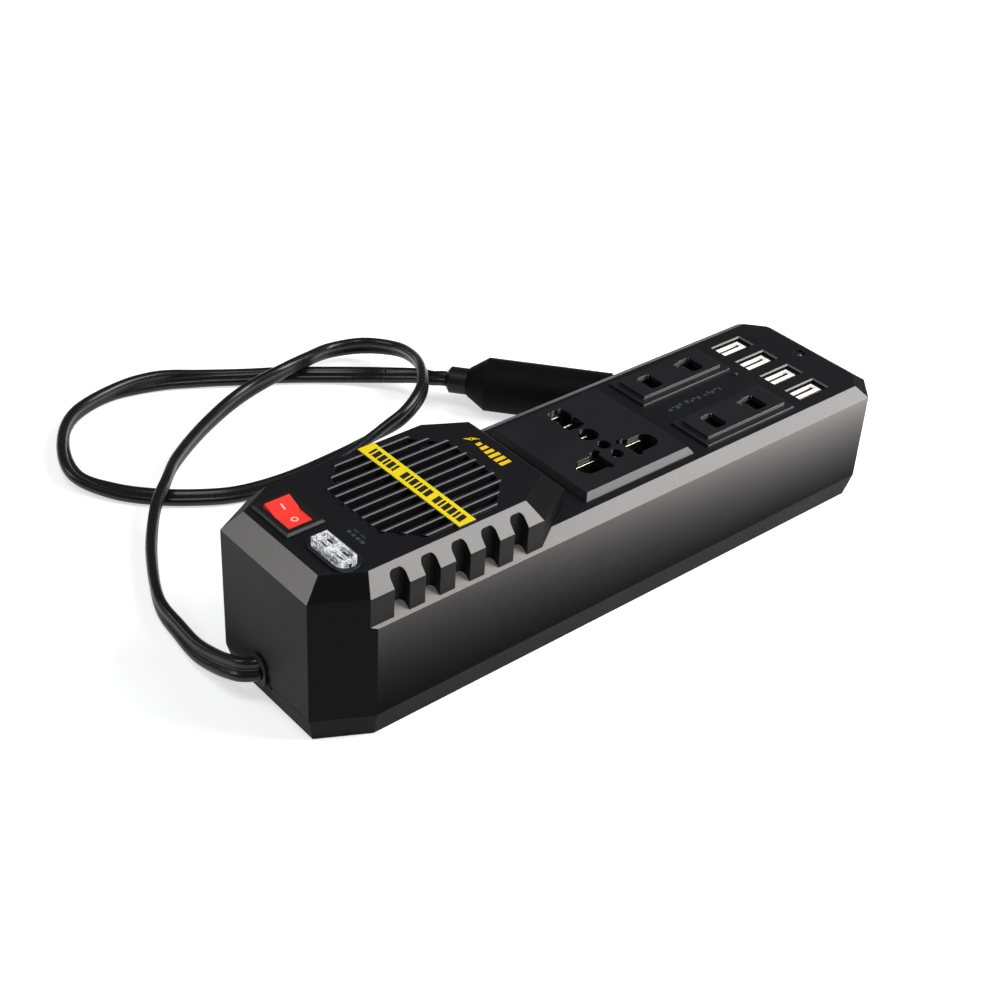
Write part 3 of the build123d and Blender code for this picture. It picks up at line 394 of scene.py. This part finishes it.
# ------------------------------------------------------------------ generic marks
lab_lo, lab_hi = mm_box("label_strip")
lab_x = (lab_lo[0] + lab_hi[0]) / 2
zt = lab_hi[2]
marks = []
y = lab_lo[1] + 3.2
k = 0
while y < lab_hi[1] - 3.0:
    w = (2.2, 1.1, 2.2, 2.2, 1.1)[k % 5]
    if k % 7 != 6:
        marks.append([(lab_x - 1.9, y - w / 2 - 0.35), (lab_x + 1.9, y - w / 2 + 0.35), (lab_x + 1.9, y + w / 2 + 0.35), (lab_x - 1.9, y + w / 2 - 0.35)])
    y += w / 2 + 0.75 + (2.2, 1.1, 2.2, 2.2, 1.1)[(k + 1) % 5] / 2
    k += 1
plates("label_marks", marks, zt - 0.05, zt + 0.04, "print_black", "case")


house_lo, house_hi = mm_box("housing")
hump_top = 64.5
deck_top = 49.6
# a bolt sign and a row of bars, printed on the hump
bolt = [(-41.2, 12.6), (-38.6, 9.6), (-38.9, 11.0), (-36.2, 9.2), (-38.8, 12.3), (-38.4, 10.9)]
bolt = [[(-41.3, 12.9), (-39.0, 9.9), (-38.3, 11.4)], [(-36.3, 9.1), (-38.6, 12.1), (-39.3, 10.6)]]
bars = [bar(-38.7, yy, ln, 1.7, 0.0) for yy, ln in ((6.9, 2.2), (4.1, 3.0), (1.3, 3.8), (-1.5, 4.6), (-4.3, 4.6), (-7.1, 4.6))]
plates("rating_mark", bolt + bars, hump_top - 0.05, hump_top + 0.05, "print_yellow", "case")
plates("fuse_mark", [bar(-104.6, yy, 1.3, 1.5) for yy in (-8.0, -10.4, -12.8, -15.2)] + [bar(-102.6, yy, 0.5, 2.4) for yy in (-9.2, -12.8)],
       hump_top - 0.05, hump_top + 0.05, "print_grey", "case")
dm = []
xx = 49.5
for i in range(15):
    w = (1.6, 0.9, 1.6, 1.3, 0.7)[i % 5]
    if i not in (4, 9):
        dm.append(bar(xx, 0.6 if i % 2 else -0.1, w, (1.5, 0.9, 1.9)[i % 3]))
    xx += w / 2 + 1.25
plates("deck_marks", dm, deck_top - 0.05, deck_top + 0.06, "print_grey", "case")

# on and off signs of the rocker, which follow its two faces
pivot = Vector((-0.1153, 0.0106, 0.0629))
tilt = math.radians(10)
rest = Matrix.Translation(pivot) @ Matrix.Rotation(tilt, 4, "X")


def on_face(side, cy):
    """Matrix from a flat drawing in mm to one half of the rocker's top."""
    t = math.tan(tilt)
    return rest @ Matrix.Translation(Vector((0, cy * MM, (2.3 + abs(cy) * t) * MM))) @ Matrix.Rotation(side * tilt, 4, "X")


plates("rocker_sign_on", [bar(0, 0, 0.6, 2.5)], -0.05, 0.05, "print_white", "rocker", on_face(1, 3.4))
plates("rocker_sign_off", ring_pieces(0, 0, 1.3, 0.75), -0.05, 0.05, "print_white", "rocker", on_face(-1, -3.3))

# ------------------------------------------------------------------ clear fuse body, with its open top and ribs
def boxes(name, items, material, body, bevel):
    verts, faces = [], []
    for x0, x1, y0, y1, z0, z1 in items:
        b = len(verts)
        verts += [Vector((x * MM, y * MM, z * MM)) for z in (z0, z1) for x, y in ((x0, y0), (x1, y0), (x1, y1), (x0, y1))]
        faces += [(b, b + 3, b + 2, b + 1), (b + 4, b + 5, b + 6, b + 7), (b, b + 1, b + 5, b + 4), (b + 1, b + 2, b + 6, b + 5), (b + 2, b + 3, b + 7, b + 6), (b + 3, b, b + 4, b + 7)]
    o = mesh_object(name, verts, faces, material)
    bv = o.modifiers.new("bevel", "BEVEL")
    bv.width = bevel * MM
    bv.segments = 2
    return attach(o, body)


fl, fh = mm_box("fuse_body")
fx, fy, ft = (fl[0] + fh[0]) / 2, (fl[1] + fh[1]) / 2, fh[2]
hx, hy = 2.7, 8.1
items = [(fx - 2.1, fx + 2.1, fy - 7.9, fy + 7.9, fl[2], ft - 1.5)]
items += [(fx + s_ * hx - 0.45, fx + s_ * hx + 0.45, fy - hy, fy + hy, ft - 4.2, ft) for s_ in (-1, 1)]
items += [(fx - hx, fx + hx, fy + hy - 0.9, fy + hy, ft - 4.2, ft)]
items += [(fx + o_ - 0.55, fx + o_ + 0.55, fy - hy - 0.5, fy - hy + 0.5, ft - 4.6, ft - 0.2) for o_ in (-2.1, 0.0, 2.1)]
items += [(fx - hx, fx + hx, fy - 0.8, fy + 0.8, ft - 1.8, ft - 0.25), (fx - 0.35, fx + 0.35, fy - hy + 0.6, fy + hy - 0.8, ft - 1.8, ft - 0.45)]
fuse_visual = boxes("fuse_clear_body", items, "fuse_plastic", "blade_fuse", 0.18)
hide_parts("fuse_body")
# four black plates inside the clear fuse stand in for its dark holes: painted shade
boxes("fuse_painted_shade_plates", [(fx + a_ * 1.35 - 0.6, fx + a_ * 1.35 + 0.6, fy + b_ * 4.2 - 1.3, fy + b_ * 4.2 + 1.3, ft - 1.55, ft - 1.42) for a_ in (-1, 1) for b_ in (-1, 1)], "print_black", "blade_fuse", 0.02)

# ------------------------------------------------------------------ flat twin cord
ua = Vector((math.cos(math.radians(-49.4)), math.sin(math.radians(-49.4)), 0))
rear = Vector((34.4, 114.6, 11.6))


def along(s, dz=0.0):
    p = rear + ua * s
    return (p.x, p.y, p.z + dz)


# x, y, z, twist in degrees (90 puts the cord on its edge)
CORD = [
    (-124.0, 3.6, 13.2, 96), (-129.0, 3.6, 13.2, 98), (-133.4, 4.4, 13.0, 104), (-136.8, 7.8, 12.1, 108), (-138.2, 13.6, 10.2, 112),
    (-138.9, 21.5, 7.7, 111), (-139.4, 32.0, 5.6, 106), (-138.3, 45.5, 4.9, 97), (-136.2, 61.2, 4.6, 88), (-124.8, 86.5, 4.6, 86),
    (-115.9, 100.9, 5.6, 92), (-107.8, 111.3, 7.6, 98), (-98.8, 119.9, 8.7, 102), (-87.7, 131.6, 7.4, 104), (-60.4, 151.4, 5.0, 104),
    (-36.8, 160.8, 6.4, 102), (-16.8, 161.5, 9.9, 112), (-2.7, 164.2, 9.4, 114), (11.7, 167.4, 7.6, 112), (25.5, 162.1, 8.0, 106),
    (33.2, 146.8, 11.0, 118), (30.1, 129.4, 15.0, 114), (22.6, 115.4, 17.8, 106), (13.1, 104.6, 17.2, 96), (0.6, 99.8, 13.2, 80),
    (-12.3, 101.8, 7.6, 50), (-31.8, 102.3, 3.6, 18), (-56.2, 102.5, 2.3, 4), (-76.0, 106.1, 2.15, 0), (-90.0, 113.6, 2.15, 0),
    (-102.1, 123.0, 2.15, 0), (-112.8, 135.3, 2.3, 6), (-120.1, 151.0, 3.4, 32), (-113.7, 173.1, 4.4, 80), (-100.6, 188.8, 4.35, 106),
    (-79.2, 195.7, 4.3, 107), (-58.7, 193.4, 4.0, 58), (-42.8, 186.6, 3.0, 22), (-25.8, 176.8, 2.7, 14), (-11.3, 168.6, 2.65, 12),
    (5.5, 157.1, 2.65, 12), (17.5, 145.7, 4.0, 12), (24.2, 134.9, 6.8, 10), (28.5, 125.6, 9.6, 5),
    (*along(-5.0, -0.5), 0), (*along(-2.0), 0), (*along(1.2), 0),
]


def interpolate(pts, step=1.1):
    """Centripetal curve through rows of numbers; the first three are the place."""
    out = []
    P = [Vector(p[:3]) for p in pts]
    n = len(pts)
    for i in range(n - 1):
        q = [pts[max(i - 1, 0)], pts[i], pts[i + 1], pts[min(i + 2, n - 1)]]
        a, b, c, d = (list(map(float, r)) for r in q)
        if i == 0:
            a = [2 * x - y for x, y in zip(b, c)]
        if i == n - 2:
            d = [2 * x - y for x, y in zip(c, b)]
        t0 = 0.0
        t1 = t0 + max((Vector(b[:3]) - Vector(a[:3])).length, 1e-3) ** 0.5
        t2 = t1 + max((Vector(c[:3]) - Vector(b[:3])).length, 1e-3) ** 0.5
        t3 = t2 + max((Vector(d[:3]) - Vector(c[:3])).length, 1e-3) ** 0.5
        m = max(2, int((P[i + 1] - P[i]).length / step))
        for j in range(m):
            t = t1 + (t2 - t1) * j / m
            row = []
            for k in range(len(b)):
                A1 = (t1 - t) / (t1 - t0) * a[k] + (t - t0) / (t1 - t0) * b[k]
                A2 = (t2 - t) / (t2 - t1) * b[k] + (t - t1) / (t2 - t1) * c[k]
                A3 = (t3 - t) / (t3 - t2) * c[k] + (t - t2) / (t3 - t2) * d[k]
                B1 = (t2 - t) / (t2 - t0) * A1 + (t - t0) / (t2 - t0) * A2
                B2 = (t3 - t) / (t3 - t1) * A2 + (t - t1) / (t3 - t1) * A3
                row.append((t2 - t) / (t2 - t1) * B1 + (t - t1) / (t2 - t1) * B2)
            out.append(row)
    out.append(list(map(float, pts[-1])))
    return out


def twin_profile(r=2.0, off=2.3, web=0.8, n=10):
    """Outline of two cores side by side with a thin web between them."""
    pts = []
    cut = math.asin(web / r)
    for i in range(n + 1):
        a = -math.pi + cut + (2 * math.pi - 2 * cut) * i / n
        pts.append((off + r * math.cos(a), r * math.sin(a)))
    left = [(-x, -y) for x, y in pts]
    return pts + left


PROFILE = twin_profile()


def cord_mesh(name, rows, material):
    verts, faces = [], []
    k = len(PROFILE)
    for i, row in enumerate(rows):
        p = Vector(row[:3])
        a, b = Vector(rows[max(i - 1, 0)][:3]), Vector(rows[min(i + 1, len(rows) - 1)][:3])
        t = (b - a).normalized()
        side = Vector((0, 0, 1)).cross(t).normalized()
        up = t.cross(side).normalized()
        w = math.radians(row[3])
        s2 = side * math.cos(w) + up * math.sin(w)
        u2 = up * math.cos(w) - side * math.sin(w)
        for x, yv in PROFILE:
            verts.append((p + s2 * x + u2 * yv) * MM)
    for i in range(len(rows) - 1):
        for j in range(k):
            j2 = (j + 1) % k
            faces.append((i * k + j, i * k + j2, (i + 1) * k + j2, (i + 1) * k + j))
    faces.append(tuple(range(k)))
    e = (len(rows) - 1) * k
    faces.append(tuple(e + j for j in reversed(range(k))))
    o = mesh_object(name, verts, faces, material, smooth=True)
    import bmesh
    bm = bmesh.new()
    bm.from_mesh(o.data)
    bmesh.ops.recalc_face_normals(bm, faces=bm.faces)
    bm.to_mesh(o.data)
    bm.free()
    return o


rows = interpolate(CORD)
tail_from = len(rows) - 1
dist = 0.0
while dist < 30.0:
    dist += (Vector(rows[tail_from][:3]) - Vector(rows[tail_from - 1][:3])).length
    tail_from -= 1
cord = cord_mesh("cord", rows[:tail_from + 1], "cord_rubber")
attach(cord, "case")
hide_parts("dc_cable")
tail = cord_mesh("cord_end", rows[tail_from:], "cord_rubber")
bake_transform(tail)

# ------------------------------------------------------------------ studio
def emission_floor():
    k = Net("studio_floor")
    n = k.noise(3.0, 2.0)
    c = k.mix(n, [0.80, 0.80, 0.80], [0.84, 0.84, 0.84])
    k.link(c, k.b.inputs["Base Color"])
    k.b.inputs["Roughness"].default_value = 0.8
    k.b.inputs["Specular IOR Level"].default_value = 0.1
    k.b.inputs["Emission Color"].default_value = (1, 1, 1, 1)
    seen = k.n("ShaderNodeLightPath").outputs["Is Camera Ray"]
    k.link(k.math("ADD", k.math("MULTIPLY", seen, 0.22), 0.40), k.b.inputs["Emission Strength"])
    return k.m


me = bpy.data.meshes.new("floor")
me.from_pydata([(-6, -6, -0.0002), (6, -6, -0.0002), (6, 6, -0.0002), (-6, 6, -0.0002)], [], [(0, 1, 2, 3)])
floor = bpy.data.objects.new("floor", me)
me.materials.append(emission_floor())
scene.collection.objects.link(floor)

target = Vector((-0.01679, 0.01834, 0.025))


def softbox(name, direction, dist, w, h, radiance, color=(1, 1, 1)):
    d = Vector(direction).normalized()
    li = bpy.data.lights.new(name, "AREA")
    li.shape = "RECTANGLE"
    li.size, li.size_y = w, h
    li.energy = radiance * math.pi * w * h
    li.color = color
    o = bpy.data.objects.new(name, li)
    o.location = target + d * dist
    o.rotation_euler = d.to_track_quat("Z", "Y").to_euler()
    scene.collection.objects.link(o)
    return o


softbox("key_right", (0.56, -0.50, 0.62), 1.25, 0.62, 0.95, 8.2)
softbox("top_fill", (-0.25, -0.12, 1.0), 1.3, 0.45, 0.45, 5.0)
softbox("rim_left", (-0.56, 0.61, 0.56), 1.3, 0.42, 0.5, 3.4)
near = softbox("side_right", (0.95, -0.62, 0.40), 0.40, 0.12, 0.12, 6.0)
near.visible_camera = False

w = bpy.data.worlds.new("world")
scene.world = w
w.use_nodes = True
w.node_tree.nodes["Background"].inputs[0].default_value = (0.95, 0.97, 1.0, 1)
w.node_tree.nodes["Background"].inputs[1].default_value = 0.15
scene.view_settings.view_transform = "Standard"

# ------------------------------------------------------------------ camera
az, el, roll = (math.radians(v) for v in (-42.02, 35.18, 3.54))
back = Vector((math.sin(az) * math.cos(el), -math.cos(az) * math.cos(el), math.sin(el)))
right = Vector((math.cos(az), math.sin(az), 0))
up = back.cross(right)
r = right * math.cos(roll) + up * math.sin(roll)
u = up * math.cos(roll) - right * math.sin(roll)
cam = bpy.data.cameras.new("camera")
cam.sensor_width = 36.0
cam.lens = 62.4705
cam.clip_start = 0.01
co = bpy.data.objects.new("camera", cam)
co.matrix_world = Matrix(((r.x, u.x, back.x, -0.36739), (r.y, u.y, back.y, -0.3708), (r.z, u.z, back.z, 0.3942), (0, 0, 0, 1)))
scene.collection.objects.link(co)
scene.camera = co
